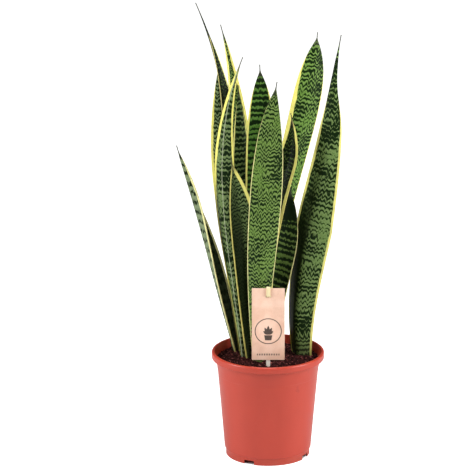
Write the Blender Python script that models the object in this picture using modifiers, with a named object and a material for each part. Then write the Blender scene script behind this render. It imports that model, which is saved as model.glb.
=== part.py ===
"""A snake plant in a thin plastic nursery pot, with a care card hooked on a stake.

Metres, +Z up, the pot's foot on Z = 0, seen from the front along +Y. The origin is under the
middle of everything's footprint, so the pot stands POT_X to the right of it, because the clump
leans further to the left than to the right.
"""

import math
from collections import namedtuple

import bmesh
import bpy
from mathutils import Matrix, Vector

# The whole plant
POT_X = 0.0146  # from the origin to the pot's axis
GAP = 0.0003  # between pieces that touch or fit
SOCKET_GAP = 0.0008  # between a leaf or the stake and the soil round it

# Pot: radii are of its outer side
RIM_RADIUS = 0.0845
POT_HEIGHT = 0.162
POT_WALL = 0.0013
LIP_WIDTH = 0.0045
LIP_HEIGHT = 0.0100
LIP_TOP = 0.0020
LIP_SKIRT = 0.0014
LIP_ROUND_IN = 0.0010
LIP_ROUND_OUT = 0.0022
EDGE_BEVEL = 0.0004
NECK_INSET = 0.0062  # from the lip's outer side to the wall under it
SHOULDER_INSET = 0.0032  # from the neck to the shoulder, where the taper starts
SHOULDER_DROP = 0.034  # below the rim
FOOT_RADIUS = 0.0630
FOOT_HEIGHT = 0.0080
FOOT_WALL = 0.0018
HEEL_OVERHANG = 0.0020
HEEL_HEIGHT = 0.0050
FLOOR_WALL = 0.0016
FLOOR_FILLET = 0.0030
NOTCH_COUNT = 4
NOTCH_WIDTH = 0.0165
NOTCH_HEIGHT = 0.0064
NOTCH_TURN = -27.0  # degrees from the front to the first notch, to the left
DRAIN_COUNT = 8
DRAIN_RADIUS = 0.0045
DRAIN_RING = 0.0440
POT_STEPS = 48

# Soil
SOIL_BELOW_RIM = 0.0120
SOIL_MOUND = 0.0020
LEAF_DEPTH = 0.020  # how deep a leaf is buried
COLLAR_HEIGHT = 0.006  # over the soil's edge: a leaf is straight from its foot up to here

# Leaves
CLUMP_RADIUS = 0.0766  # the soil radius that the leaves' places and widths are set out for
FOOT_THICKNESS = 0.0032
MIDDLE_THICKNESS = 0.0022
TIP_THICKNESS = 0.0014
MARGIN_SHARE = 0.45  # of the thickness at the midrib
KEEL_ROUND = 0.22  # of half the width
AWL_RADIUS = 0.0016
AWL_LENGTH = 0.009
AWL_TAPER = 0.6
CURL_START = 0.80
PINCH_START = 0.70
PINCH_RUN = 0.20
OPENED = 0.8  # where along a leaf its fold has opened
LEAF_ALONG = 15
LEAF_ACROSS = 6

# Card and stake
CARD_WIDTH = 0.0490
CARD_HEIGHT = 0.1120
CARD_THICKNESS = 0.0008
CARD_CORNER = 0.0010
CARD_PLACE = -0.0450  # in Y, for a clump of the stated radius
CARD_ABOVE_SOIL = 0.0120
SLOT_BELOW_TOP = 0.0130
STAKE_WIDTH = 0.0060
STAKE_THICKNESS = 0.0013
STAKE_DEPTH = 0.045

Leaf = namedtuple(
    "Leaf", "name foot lower upper tip rise facing width fold widest point foot_width curl pinch",
    defaults=((0.0, 0.0), 0.0),
)
# Places are (x, y) from the pot's axis: at the soil, at a third and two thirds of the rise, and
# at the tip. Facing is the turn of the inner side from the front, in degrees, at the foot, the
# middle and the tip. Fold is how far the two wings fold up, at the foot and at the top.
# A higher point makes a blunter tip, foot_width is a share of the width, curl moves the tip, and
# pinch is the share of the width that is lost under a long narrow tip.
LEAVES = (
    Leaf("leaf_far_left", (-0.050, 0.033), (-0.079, 0.028), (-0.107, 0.012), (-0.136, -0.006),
         0.333, (60, 78, 160), 0.043, (50, 42), 0.40, 2.3, 0.45),
    Leaf("leaf_tall_left", (-0.024, 0.051), (-0.047, 0.068), (-0.062, 0.073), (-0.108, 0.076),
         0.530, (60, 25, 115), 0.042, (50, 30), 0.45, 1.6, 0.45),
    Leaf("leaf_back_left", (-0.038, 0.044), (-0.053, 0.068), (-0.067, 0.076), (-0.075, 0.080),
         0.435, (190, 190, 190), 0.038, (50, 15), 0.60, 2.0, 0.40),
    Leaf("leaf_front_left", (-0.038, 0.002), (-0.058, 0.004), (-0.068, -0.002), (-0.038, -0.012),
         0.469, (150, 150, 150), 0.046, (50, 25), 0.50, 1.35, 0.40),
    Leaf("leaf_slender_left", (-0.007, 0.040), (-0.031, 0.055), (-0.043, 0.060), (-0.071, 0.062),
         0.500, (0, 0, 40), 0.040, (50, 25), 0.55, 1.35, 0.40),
    Leaf("leaf_banded_left", (-0.028, 0.025), (-0.033, 0.028), (-0.038, 0.034), (-0.045, 0.040),
         0.413, (200, 200, 200), 0.038, (50, 15), 0.55, 1.8, 0.40),
    Leaf("leaf_short_left", (-0.026, -0.001), (-0.030, -0.003), (-0.038, -0.006), (-0.056, -0.010),
         0.314, (0, 15, 10), 0.047, (50, 20), 0.45, 3.0, 0.40),
    Leaf("leaf_centre_back", (-0.012, 0.017), (-0.014, 0.017), (-0.011, 0.019), (-0.013, 0.026),
         0.448, (0, 0, 0), 0.047, (50, 12), 0.55, 4.0, 0.35),
    Leaf("leaf_front_centre", (-0.014, -0.0225), (-0.011, -0.037), (-0.002, -0.039), (0.006, -0.044),
         0.440, (180, 180, 172), 0.0495, (45, 12), 0.50, 2.9, 0.45, (0.006, 0.0)),
    Leaf("leaf_broad_right", (0.019, 0.028), (0.013, 0.036), (0.045, 0.048), (0.073, 0.064),
         0.488, (200, 205, 190), 0.047, (50, 14), 0.72, 3.2, 0.45),
    Leaf("leaf_hidden_tip", (0.010, 0.048), (-0.003, 0.057), (0.007, 0.061), (0.024, 0.060),
         0.327, (0, 0, 0), 0.032, (50, 20), 0.50, 1.6, 0.45),
    Leaf("leaf_hooked", (0.008, -0.010), (-0.003, -0.011), (0.0145, -0.008), (0.058, -0.004),
         0.382, (-12, -15, -40), 0.037, (45, 28), 0.76, 2.2, 0.30, (-0.0255, 0.0)),
    Leaf("leaf_short_right", (0.017, 0.005), (0.008, 0.003), (0.023, 0.008), (0.032, 0.014),
         0.268, (10, 0, 0), 0.044, (50, 15), 0.60, 2.0, 0.45),
    Leaf("leaf_big_right", (0.046, 0.010), (0.055, 0.004), (0.0875, -0.004), (0.086, -0.014),
         0.503, (150, 148, 185), 0.072, (40, 18), 0.40, 1.10, 0.60, (0.020, 0.0), 0.45),
)

# Worked out from the sizes above
NECK_RADIUS = RIM_RADIUS - NECK_INSET
NECK_Z = POT_HEIGHT - LIP_HEIGHT - 0.001
SHOULDER_RADIUS = NECK_RADIUS - SHOULDER_INSET
SHOULDER_Z = POT_HEIGHT - SHOULDER_DROP
HEEL_RADIUS = FOOT_RADIUS + HEEL_OVERHANG
HEEL_Z = FOOT_HEIGHT + HEEL_HEIGHT
FLOOR_TOP = FOOT_HEIGHT + FLOOR_WALL
SOIL_TOP = POT_HEIGHT - SOIL_BELOW_RIM
CARD_BOTTOM = SOIL_TOP + CARD_ABOVE_SOIL
CARD_TOP = CARD_BOTTOM + CARD_HEIGHT


def clear_scene():
    for obj in list(bpy.data.objects):
        bpy.data.objects.remove(obj)


def new_collection(name):
    collection = bpy.data.collections.new(name)
    bpy.context.scene.collection.children.link(collection)
    return collection


def new_material(name, colour, roughness):
    material = bpy.data.materials.new(name)
    material.use_nodes = True
    shader = material.node_tree.nodes["Principled BSDF"]
    shader.inputs["Base Color"].default_value = (*colour, 1.0)
    shader.inputs["Roughness"].default_value = roughness
    shader.inputs["Metallic"].default_value = 0.0
    return material


def new_object(name, bm, collection, material=None, smooth_angle=None):
    """The bmesh as an object whose origin is on the pot's axis, at the floor."""
    mesh = bpy.data.meshes.new(name)
    bm.to_mesh(mesh)
    bm.free()
    obj = bpy.data.objects.new(name, mesh)
    obj.location.x = POT_X
    collection.objects.link(obj)
    if material:
        mesh.materials.append(material)
    if smooth_angle:
        mesh.shade_smooth()
        mesh.set_sharp_from_angle(angle=math.radians(smooth_angle))
    return obj


def as_cutter(obj):
    obj.hide_render = True
    obj.display_type = "WIRE"
    return obj


def cut(obj, cutter):
    modifier = obj.modifiers.new("cut " + cutter.name, "BOOLEAN")
    modifier.operation = "DIFFERENCE"
    modifier.solver = "EXACT"
    modifier.object = cutter


def turned(name, profile, collection, material):
    """A profile of (radius, z) points, down its outer side, turned round the pot's axis."""
    bm = bmesh.new()
    points = [bm.verts.new((radius, 0.0, z)) for radius, z in profile]
    for start, end in zip(points, points[1:]):
        bm.edges.new((start, end))
    obj = new_object(name, bm, collection, material)
    screw = obj.modifiers.new("turn", "SCREW")
    screw.axis = "Z"
    screw.angle = math.tau
    screw.steps = POT_STEPS
    screw.render_steps = POT_STEPS
    screw.use_merge_vertices = True
    screw.merge_threshold = 0.00001
    screw.use_smooth_shade = True
    return obj


def arc(centre, radius, first, last, count):
    """Points on a circle from the first angle to the last, in degrees."""
    turns = [math.radians(first + (last - first) * i / count) for i in range(count + 1)]
    return [(centre[0] + radius * math.cos(a), centre[1] + radius * math.sin(a)) for a in turns]


def inner_wall(clearance):
    """(radius, z) up the pot's inner side, from the floor to the neck, kept clear of it."""
    inset = POT_WALL + clearance
    heel = HEEL_RADIUS - inset
    floor = FLOOR_TOP + clearance
    fillet = arc((heel - FLOOR_FILLET, floor + FLOOR_FILLET), FLOOR_FILLET, -90, 0, 3)
    shoulder = (SHOULDER_RADIUS - inset, SHOULDER_Z)
    return [(0.0, floor), *fillet, shoulder, (NECK_RADIUS - inset, NECK_Z)]


def soil_radius():
    """The radius of the soil where it meets the wall at its top."""
    share = (SOIL_TOP - SHOULDER_Z) / (NECK_Z - SHOULDER_Z)
    outer = SHOULDER_RADIUS + (NECK_RADIUS - SHOULDER_RADIUS) * share
    return outer - POT_WALL - GAP


def clump_spread():
    """How much wider the clump is than the one its places are set out for."""
    return soil_radius() / CLUMP_RADIUS


def card_y():
    return CARD_PLACE * clump_spread()


def pot_profile():
    inside = inner_wall(0.0)
    edge = RIM_RADIUS - LIP_WIDTH
    lip = arc((edge + LIP_ROUND_IN, POT_HEIGHT - LIP_ROUND_IN), LIP_ROUND_IN, 180, 90, 3)
    lip += arc((RIM_RADIUS - LIP_ROUND_OUT, POT_HEIGHT - LIP_ROUND_OUT), LIP_ROUND_OUT, 90, 0, 4)
    skirt_z = POT_HEIGHT - LIP_HEIGHT
    groove_z = POT_HEIGHT - LIP_TOP
    skirt = [
        (RIM_RADIUS, skirt_z + EDGE_BEVEL),
        (RIM_RADIUS - EDGE_BEVEL, skirt_z),
        (RIM_RADIUS - LIP_SKIRT, skirt_z),
        (RIM_RADIUS - LIP_SKIRT, groove_z),
        (edge + POT_WALL, groove_z),
    ]
    outside = [(NECK_RADIUS, NECK_Z), (SHOULDER_RADIUS, SHOULDER_Z), (HEEL_RADIUS, HEEL_Z)]
    heel = [(HEEL_RADIUS - 0.3 * HEEL_OVERHANG, FOOT_HEIGHT + 0.35 * HEEL_HEIGHT)]
    foot_inside = FOOT_RADIUS - FOOT_WALL
    foot = [
        (FOOT_RADIUS, FOOT_HEIGHT),
        (FOOT_RADIUS, EDGE_BEVEL),
        (FOOT_RADIUS - EDGE_BEVEL, 0.0),
        (foot_inside, 0.0),
        (foot_inside, FOOT_HEIGHT),
        (0.0, FOOT_HEIGHT),
    ]
    return inside + lip + skirt + outside + heel + foot


def notch_cutter(collection):
    """Boxes across the foot ring, open at the floor."""
    bm = bmesh.new()
    depth = 4 * FOOT_WALL
    for i in range(NOTCH_COUNT):
        turn = math.radians(NOTCH_TURN + 360.0 * i / NOTCH_COUNT)
        outward = Matrix.Translation((0.0, 0.5 * FOOT_WALL - FOOT_RADIUS, 0.0))
        place = Matrix.Rotation(turn, 4, "Z") @ outward
        size = Matrix.Diagonal((NOTCH_WIDTH, depth, 2 * NOTCH_HEIGHT, 1.0))
        bmesh.ops.create_cube(bm, size=1.0, matrix=place @ size)
    return as_cutter(new_object("notch_cutter", bm, collection))


def drain_cutter(collection):
    """Round holes in a ring through the pot's floor."""
    bm = bmesh.new()
    for i in range(DRAIN_COUNT):
        turn = math.tau * (i + 0.5) / DRAIN_COUNT
        x, y = DRAIN_RING * math.sin(turn), DRAIN_RING * math.cos(turn)
        place = Matrix.Translation((x, y, FOOT_HEIGHT))
        bmesh.ops.create_cone(
            bm, cap_ends=True, segments=16, radius1=DRAIN_RADIUS, radius2=DRAIN_RADIUS,
            depth=6 * FLOOR_WALL, matrix=place,
        )
    return as_cutter(new_object("drain_cutter", bm, collection))


def make_pot(parts, cutters):
    plastic = new_material("terracotta plastic", (0.55, 0.075, 0.045), 0.38)
    pot = turned("nursery_pot", pot_profile(), parts, plastic)
    cut(pot, notch_cutter(cutters))
    cut(pot, drain_cutter(cutters))
    return pot


def make_soil(parts):
    mix = new_material("potting mix", (0.045, 0.016, 0.012), 0.95)
    wall = inner_wall(GAP)[-2::-1]
    radius = soil_radius()
    shoulder = (0.5 * radius, SOIL_TOP + 0.7 * SOIL_MOUND)
    top = [(0.0, SOIL_TOP + SOIL_MOUND), shoulder, (radius, SOIL_TOP)]
    return turned("soil", top + wall, parts, mix)


def through(values, places, t):
    """The smooth curve through the values at these places, read at t."""
    total = 0.0 * values[0]
    for i, place in enumerate(places):
        weight = 1.0
        for j, other in enumerate(places):
            if j != i:
                weight *= (t - other) / (place - other)
        total += weight * values[i]
    return total


def ease(share):
    share = min(max(share, 0.0), 1.0)
    return share * share * (3.0 - 2.0 * share)


def spine_point(leaf, t):
    """The midrib's place at t, from 0 at the soil to 1 at the tip."""
    spread = clump_spread()
    places = (leaf.foot, leaf.lower, leaf.upper, leaf.tip)
    heights = [SOIL_TOP + leaf.rise * i / 3 for i in range(4)]
    points = [Vector((x * spread, y * spread, z)) for (x, y), z in zip(places, heights)]
    point = through(points, (0.0, 1 / 3, 2 / 3, 1.0), t)
    curled = max(t - CURL_START, 0.0) / (1.0 - CURL_START)
    return point + Vector((*leaf.curl, 0.0)) * spread * curled**2


def half_width(leaf, t):
    """Half the blade's width, measured over its fold."""
    spread = clump_spread()
    if t < leaf.widest:
        rest = 1.0 - max(t, 0.0) / leaf.widest
        share = leaf.foot_width + (1.0 - leaf.foot_width) * (1.0 - rest**2)
    else:
        blade_end = 1.0 - AWL_LENGTH / leaf.rise
        share = 1.0 - min((t - leaf.widest) / (blade_end - leaf.widest), 1.0) ** leaf.point
    share *= 1.0 - leaf.pinch * ease((t - PINCH_START) / PINCH_RUN)
    awl = AWL_RADIUS * (1.0 - AWL_TAPER * max(t, 0.0))
    return math.hypot(0.5 * leaf.width * spread * share, awl)


def blade_point(leaf, t, across, grow):
    """A point of the blade's middle surface; across runs from -1 to 1 over the midrib."""
    step = 0.001
    rise = (spine_point(leaf, t + step) - spine_point(leaf, t - step)).normalized()
    turn = math.radians(through(leaf.facing, (0.0, 0.5, 1.0), t))
    inward = Vector((math.sin(turn), -math.cos(turn), 0.0))
    inward = (inward - rise * inward.dot(rise)).normalized()
    side = rise.cross(inward)
    fold = math.radians(leaf.fold[1] + (leaf.fold[0] - leaf.fold[1]) * (1.0 - ease(t / OPENED)))
    reach = half_width(leaf, t) + grow
    lift = math.hypot(across, KEEL_ROUND) - KEEL_ROUND
    outwards = side * reach * math.cos(fold) * across
    return spine_point(leaf, t) + outwards + inward * reach * math.sin(fold) * lift


def blade_thickness(t, across):
    if t < 0.5:
        middle = FOOT_THICKNESS + (MIDDLE_THICKNESS - FOOT_THICKNESS) * max(t, 0.0) / 0.5
    else:
        middle = MIDDLE_THICKNESS + (TIP_THICKNESS - MIDDLE_THICKNESS) * (t - 0.5) / 0.5
    return middle * (1.0 - (1.0 - MARGIN_SHARE) * across**2)


def blade(name, leaf, stations, grow, collection, material=None):
    """A grid bent to the leaf, a row at each station, with its thickness added on both sides."""
    bm = bmesh.new()
    along = len(stations) - 1
    bmesh.ops.create_grid(bm, x_segments=LEAF_ACROSS, y_segments=along, size=1.0)
    most = FOOT_THICKNESS + 2 * grow
    weights = []
    for vert in bm.verts:
        across = vert.co.x
        t = stations[round(along * 0.5 * (vert.co.y + 1.0))]
        weights.append((blade_thickness(t, across) + 2 * grow) / most)
        vert.co = blade_point(leaf, t, across, grow)
    obj = new_object(name, bm, collection, material, smooth_angle=50)
    group = obj.vertex_groups.new(name="thickness")
    for index, weight in enumerate(weights):
        group.add([index], weight, "REPLACE")
    solid = obj.modifiers.new("thickness", "SOLIDIFY")
    solid.thickness = most
    solid.offset = 0.0
    solid.use_even_offset = True
    solid.vertex_group = group.name
    return obj


def make_leaves(parts, cutters, soil):
    green = new_material("leaf green", (0.10, 0.19, 0.06), 0.42)
    for leaf in LEAVES:
        start = -LEAF_DEPTH / leaf.rise
        collar = COLLAR_HEIGHT / leaf.rise
        shown = [collar + (1.0 - collar) * i / LEAF_ALONG for i in range(LEAF_ALONG + 1)]
        blade(leaf.name, leaf, [start, *shown], 0.0, parts, green)
        below = start - SOCKET_GAP / leaf.rise
        socket = blade(leaf.name + "_socket", leaf, [below, collar], SOCKET_GAP, cutters)
        cut(soil, as_cutter(socket))


def make_card(parts, cutters):
    board = new_material("kraft board", (0.78, 0.50, 0.34), 0.85)
    bm = bmesh.new()
    place = Matrix.Translation((0.0, card_y(), CARD_BOTTOM + 0.5 * CARD_HEIGHT))
    size = Matrix.Diagonal((CARD_WIDTH, CARD_THICKNESS, CARD_HEIGHT, 1.0))
    bmesh.ops.create_cube(bm, size=1.0, matrix=place @ size)
    corners = [e for e in bm.edges if abs(e.verts[0].co.y - e.verts[1].co.y) > 0.5 * CARD_THICKNESS]
    bmesh.ops.bevel(bm, geom=corners, offset=CARD_CORNER, segments=3, profile=0.5, affect="EDGES")
    card = new_object("care_card", bm, parts, board)
    bm = bmesh.new()
    place = Matrix.Translation((0.0, card_y(), CARD_TOP - SLOT_BELOW_TOP))
    height = STAKE_THICKNESS + 4 * GAP
    size = Matrix.Diagonal((STAKE_WIDTH + 4 * GAP, 4 * CARD_THICKNESS, height, 1.0))
    bmesh.ops.create_cube(bm, size=1.0, matrix=place @ size)
    cut(card, as_cutter(new_object("slot_cutter", bm, cutters)))
    return card


def stake_path():
    """(y, z) up behind the card, over its top edge, down its front and into the slot."""
    reach = 0.5 * CARD_THICKNESS + GAP + 0.5 * STAKE_THICKNESS
    over = CARD_TOP + GAP
    slot_z = CARD_TOP - SLOT_BELOW_TOP
    back = [(card_y() + reach, SOIL_TOP - STAKE_DEPTH), (card_y() + reach, SOIL_TOP)]
    hook = arc((card_y(), over), reach, 0, 180, 8)
    tail = arc((card_y(), slot_z + reach), reach, 180, 270, 5)
    return back + hook + tail


def make_stake(parts, cutters, soil):
    plastic = new_material("cream plastic", (0.83, 0.80, 0.68), 0.45)
    bm = bmesh.new()
    left = [bm.verts.new((-0.5 * STAKE_WIDTH, y, z)) for y, z in stake_path()]
    edges = [bm.edges.new(pair) for pair in zip(left, left[1:])]
    made = bmesh.ops.extrude_edge_only(bm, edges=edges)["geom"]
    right = [item for item in made if isinstance(item, bmesh.types.BMVert)]
    bmesh.ops.translate(bm, vec=(STAKE_WIDTH, 0.0, 0.0), verts=right)
    stake = new_object("card_stake", bm, parts, plastic)
    solid = stake.modifiers.new("thickness", "SOLIDIFY")
    solid.thickness = STAKE_THICKNESS
    solid.offset = 0.0
    solid.use_even_offset = True
    bm = bmesh.new()
    reach = 0.5 * CARD_THICKNESS + GAP + 0.5 * STAKE_THICKNESS
    depth = STAKE_DEPTH + SOCKET_GAP
    top = SOIL_TOP + COLLAR_HEIGHT
    place = Matrix.Translation((0.0, card_y() + reach, 0.5 * (top + SOIL_TOP - depth)))
    thickness = STAKE_THICKNESS + 2 * SOCKET_GAP
    size = Matrix.Diagonal((STAKE_WIDTH + 2 * SOCKET_GAP, thickness, top - SOIL_TOP + depth, 1.0))
    bmesh.ops.create_cube(bm, size=1.0, matrix=place @ size)
    cut(soil, as_cutter(new_object("stake_socket", bm, cutters)))
    return stake


def main():
    clear_scene()
    parts = new_collection("potted snake plant")
    cutters = new_collection("cutters")
    cutters.hide_render = True
    make_pot(parts, cutters)
    soil = make_soil(parts)
    make_leaves(parts, cutters, soil)
    make_card(parts, cutters)
    make_stake(parts, cutters, soil)


main()
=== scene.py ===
"""The looks of a snake plant in a thin plastic nursery pot, with a care card hooked on a stake.

Metres, +Z up, seen from the front along +Y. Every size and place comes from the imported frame, or
repeats the leaf law that the frame's own leaves were built by.
"""

import math
import random
from collections import namedtuple

import bmesh
import bpy
from mathutils import Euler, Matrix, Vector, noise


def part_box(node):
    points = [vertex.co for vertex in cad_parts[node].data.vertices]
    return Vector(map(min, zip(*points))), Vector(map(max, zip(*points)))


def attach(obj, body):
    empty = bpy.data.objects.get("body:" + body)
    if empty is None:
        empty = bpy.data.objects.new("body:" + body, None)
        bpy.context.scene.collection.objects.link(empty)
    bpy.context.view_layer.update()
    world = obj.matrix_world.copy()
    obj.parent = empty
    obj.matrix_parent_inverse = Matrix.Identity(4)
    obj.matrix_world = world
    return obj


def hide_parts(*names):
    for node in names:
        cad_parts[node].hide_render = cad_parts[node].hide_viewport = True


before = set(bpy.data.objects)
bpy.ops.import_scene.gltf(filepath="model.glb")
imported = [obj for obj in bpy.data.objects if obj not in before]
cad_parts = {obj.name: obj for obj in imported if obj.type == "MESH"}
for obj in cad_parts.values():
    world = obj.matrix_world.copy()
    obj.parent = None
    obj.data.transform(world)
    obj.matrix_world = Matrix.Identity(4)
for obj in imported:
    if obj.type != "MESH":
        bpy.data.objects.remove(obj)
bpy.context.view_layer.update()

MM = 0.001

# ---------------------------------------------------------------------------------------------
# Sizes and places, from the frame
# ---------------------------------------------------------------------------------------------

POT_LOW, POT_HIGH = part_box("nursery_pot")
SOIL_LOW, SOIL_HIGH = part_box("soil")
CARD_LOW, CARD_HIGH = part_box("care_card")
STAKE_LOW, STAKE_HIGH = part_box("card_stake")

AXIS_X = 0.5 * (POT_LOW.x + POT_HIGH.x)
RIM_RADIUS = 0.5 * (POT_HIGH.x - POT_LOW.x)
POT_HEIGHT = POT_HIGH.z
SOIL_MOUND = 2.0 * MM
SOIL_TOP = SOIL_HIGH.z - SOIL_MOUND
SOIL_RADIUS = 0.5 * (SOIL_HIGH.x - SOIL_LOW.x)
SOIL_FLOOR = SOIL_LOW.z

# Pot wall
POT_WALL = 1.3 * MM
LIP_WIDTH = 4.5 * MM
LIP_HEIGHT = 10.0 * MM
LIP_TOP = 2.0 * MM
LIP_SKIRT = 1.4 * MM
NECK_INSET = 6.2 * MM
SHOULDER_INSET = 3.2 * MM
SHOULDER_DROP = 34.0 * MM
FOOT_RADIUS = 63.0 * MM
FOOT_HEIGHT = 8.0 * MM
FOOT_WALL = 1.8 * MM
HEEL_OVERHANG = 2.0 * MM
HEEL_HEIGHT = 5.0 * MM
FLOOR_WALL = 1.6 * MM
FLOOR_FILLET = 3.0 * MM
NOTCH_COUNT = 4
NOTCH_WIDTH = 16.5 * MM
NOTCH_HEIGHT = 6.4 * MM
NOTCH_TURN = -27.0
DRAIN_COUNT = 8
DRAIN_RADIUS = 4.5 * MM
DRAIN_RING = 44.0 * MM
POT_TURNS = 160

NECK_RADIUS = RIM_RADIUS - NECK_INSET
NECK_Z = POT_HEIGHT - LIP_HEIGHT - 1.0 * MM
SHOULDER_RADIUS = NECK_RADIUS - SHOULDER_INSET
SHOULDER_Z = POT_HEIGHT - SHOULDER_DROP
HEEL_RADIUS = FOOT_RADIUS + HEEL_OVERHANG
HEEL_Z = FOOT_HEIGHT + HEEL_HEIGHT
FLOOR_TOP = FOOT_HEIGHT + FLOOR_WALL
GAP = 0.3 * MM

# Leaves
LEAF_DEPTH = 20.0 * MM
CLUMP_RADIUS = 76.6 * MM
FOOT_THICKNESS = 3.2 * MM
MIDDLE_THICKNESS = 2.2 * MM
TIP_THICKNESS = 1.4 * MM
MARGIN_THINNESS = 0.25
KEEL_ROUND = 0.22
AWL_RADIUS = 1.6 * MM
AWL_LENGTH = 9.0 * MM
AWL_TAPER = 0.6
CURL_START = 0.80
PINCH_START = 0.70
PINCH_RUN = 0.20
OPENED = 0.8
LEAF_ALONG = 120
LEAF_ACROSS = 22

Leaf = namedtuple(
    "Leaf", "name foot lower upper tip rise facing width fold widest point foot_width curl pinch",
    defaults=((0.0, 0.0), 0.0),
)
# Places are (x, y) from the pot's axis: at the soil, at a third and two thirds of the rise, and
# at the tip. Facing is the turn of the inner side from the front, in degrees, at the foot, the
# middle and the tip. Fold is how far the two wings fold up, at the foot and at the top. Pinch is
# the share of the width that is lost under a long narrow tip.
LEAVES = (
    Leaf("leaf_far_left", (-0.050, 0.033), (-0.079, 0.028), (-0.107, 0.012), (-0.136, -0.006),
         0.333, (60, 78, 160), 0.043, (50, 42), 0.40, 2.3, 0.45),
    Leaf("leaf_tall_left", (-0.024, 0.051), (-0.047, 0.068), (-0.062, 0.073), (-0.108, 0.076),
         0.530, (60, 25, 115), 0.042, (50, 30), 0.45, 1.6, 0.45),
    Leaf("leaf_back_left", (-0.038, 0.044), (-0.053, 0.068), (-0.067, 0.076), (-0.075, 0.080),
         0.435, (190, 190, 190), 0.038, (50, 15), 0.60, 2.0, 0.40),
    Leaf("leaf_front_left", (-0.038, 0.002), (-0.058, 0.004), (-0.068, -0.002), (-0.038, -0.012),
         0.469, (150, 150, 150), 0.046, (50, 25), 0.50, 1.35, 0.40),
    Leaf("leaf_slender_left", (-0.007, 0.040), (-0.031, 0.055), (-0.043, 0.060), (-0.071, 0.062),
         0.500, (0, 0, 40), 0.040, (50, 25), 0.55, 1.35, 0.40),
    Leaf("leaf_banded_left", (-0.028, 0.025), (-0.033, 0.028), (-0.038, 0.034), (-0.045, 0.040),
         0.413, (200, 200, 200), 0.038, (50, 15), 0.55, 1.8, 0.40),
    Leaf("leaf_short_left", (-0.026, -0.001), (-0.030, -0.003), (-0.038, -0.006), (-0.056, -0.010),
         0.314, (0, 15, 10), 0.047, (50, 20), 0.45, 3.0, 0.40),
    Leaf("leaf_centre_back", (-0.012, 0.017), (-0.014, 0.017), (-0.011, 0.019), (-0.013, 0.026),
         0.448, (0, 0, 0), 0.047, (50, 12), 0.55, 4.0, 0.35),
    Leaf("leaf_front_centre", (-0.014, -0.0225), (-0.011, -0.037), (-0.002, -0.039),
         (0.006, -0.044), 0.440, (180, 180, 172), 0.0495, (45, 12), 0.50, 2.9, 0.45, (0.006, 0.0)),
    Leaf("leaf_broad_right", (0.019, 0.028), (0.013, 0.036), (0.045, 0.048), (0.073, 0.064),
         0.488, (200, 205, 190), 0.047, (50, 14), 0.72, 3.2, 0.45),
    Leaf("leaf_hidden_tip", (0.010, 0.048), (-0.003, 0.057), (0.007, 0.061), (0.024, 0.060),
         0.327, (0, 0, 0), 0.032, (50, 20), 0.50, 1.6, 0.45),
    Leaf("leaf_hooked", (0.008, -0.010), (-0.003, -0.011), (0.0145, -0.008), (0.058, -0.004),
         0.382, (-12, -15, -40), 0.037, (45, 28), 0.76, 2.2, 0.30, (-0.0255, 0.0)),
    Leaf("leaf_short_right", (0.017, 0.005), (0.008, 0.003), (0.023, 0.008), (0.032, 0.014),
         0.268, (10, 0, 0), 0.044, (50, 15), 0.60, 2.0, 0.45),
    Leaf("leaf_big_right", (0.046, 0.010), (0.055, 0.004), (0.0875, -0.004), (0.086, -0.014),
         0.503, (150, 148, 185), 0.072, (40, 18), 0.40, 1.10, 0.60, (0.020, 0.0), 0.45),
)

Look = namedtuple(
    "Look",
    "tone margins bare period swing duty patches keel grey lemon warm dusk crown",
    defaults=(
        1.0, (3.0, 3.0), (15.0, 110.0), 6.0, 2.4, 0.0, 0.6, 0.0, 0.0, 0.5, 0.85,
        (0.0, 0.0), (0.0, 0.0),
    ),
)
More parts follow.
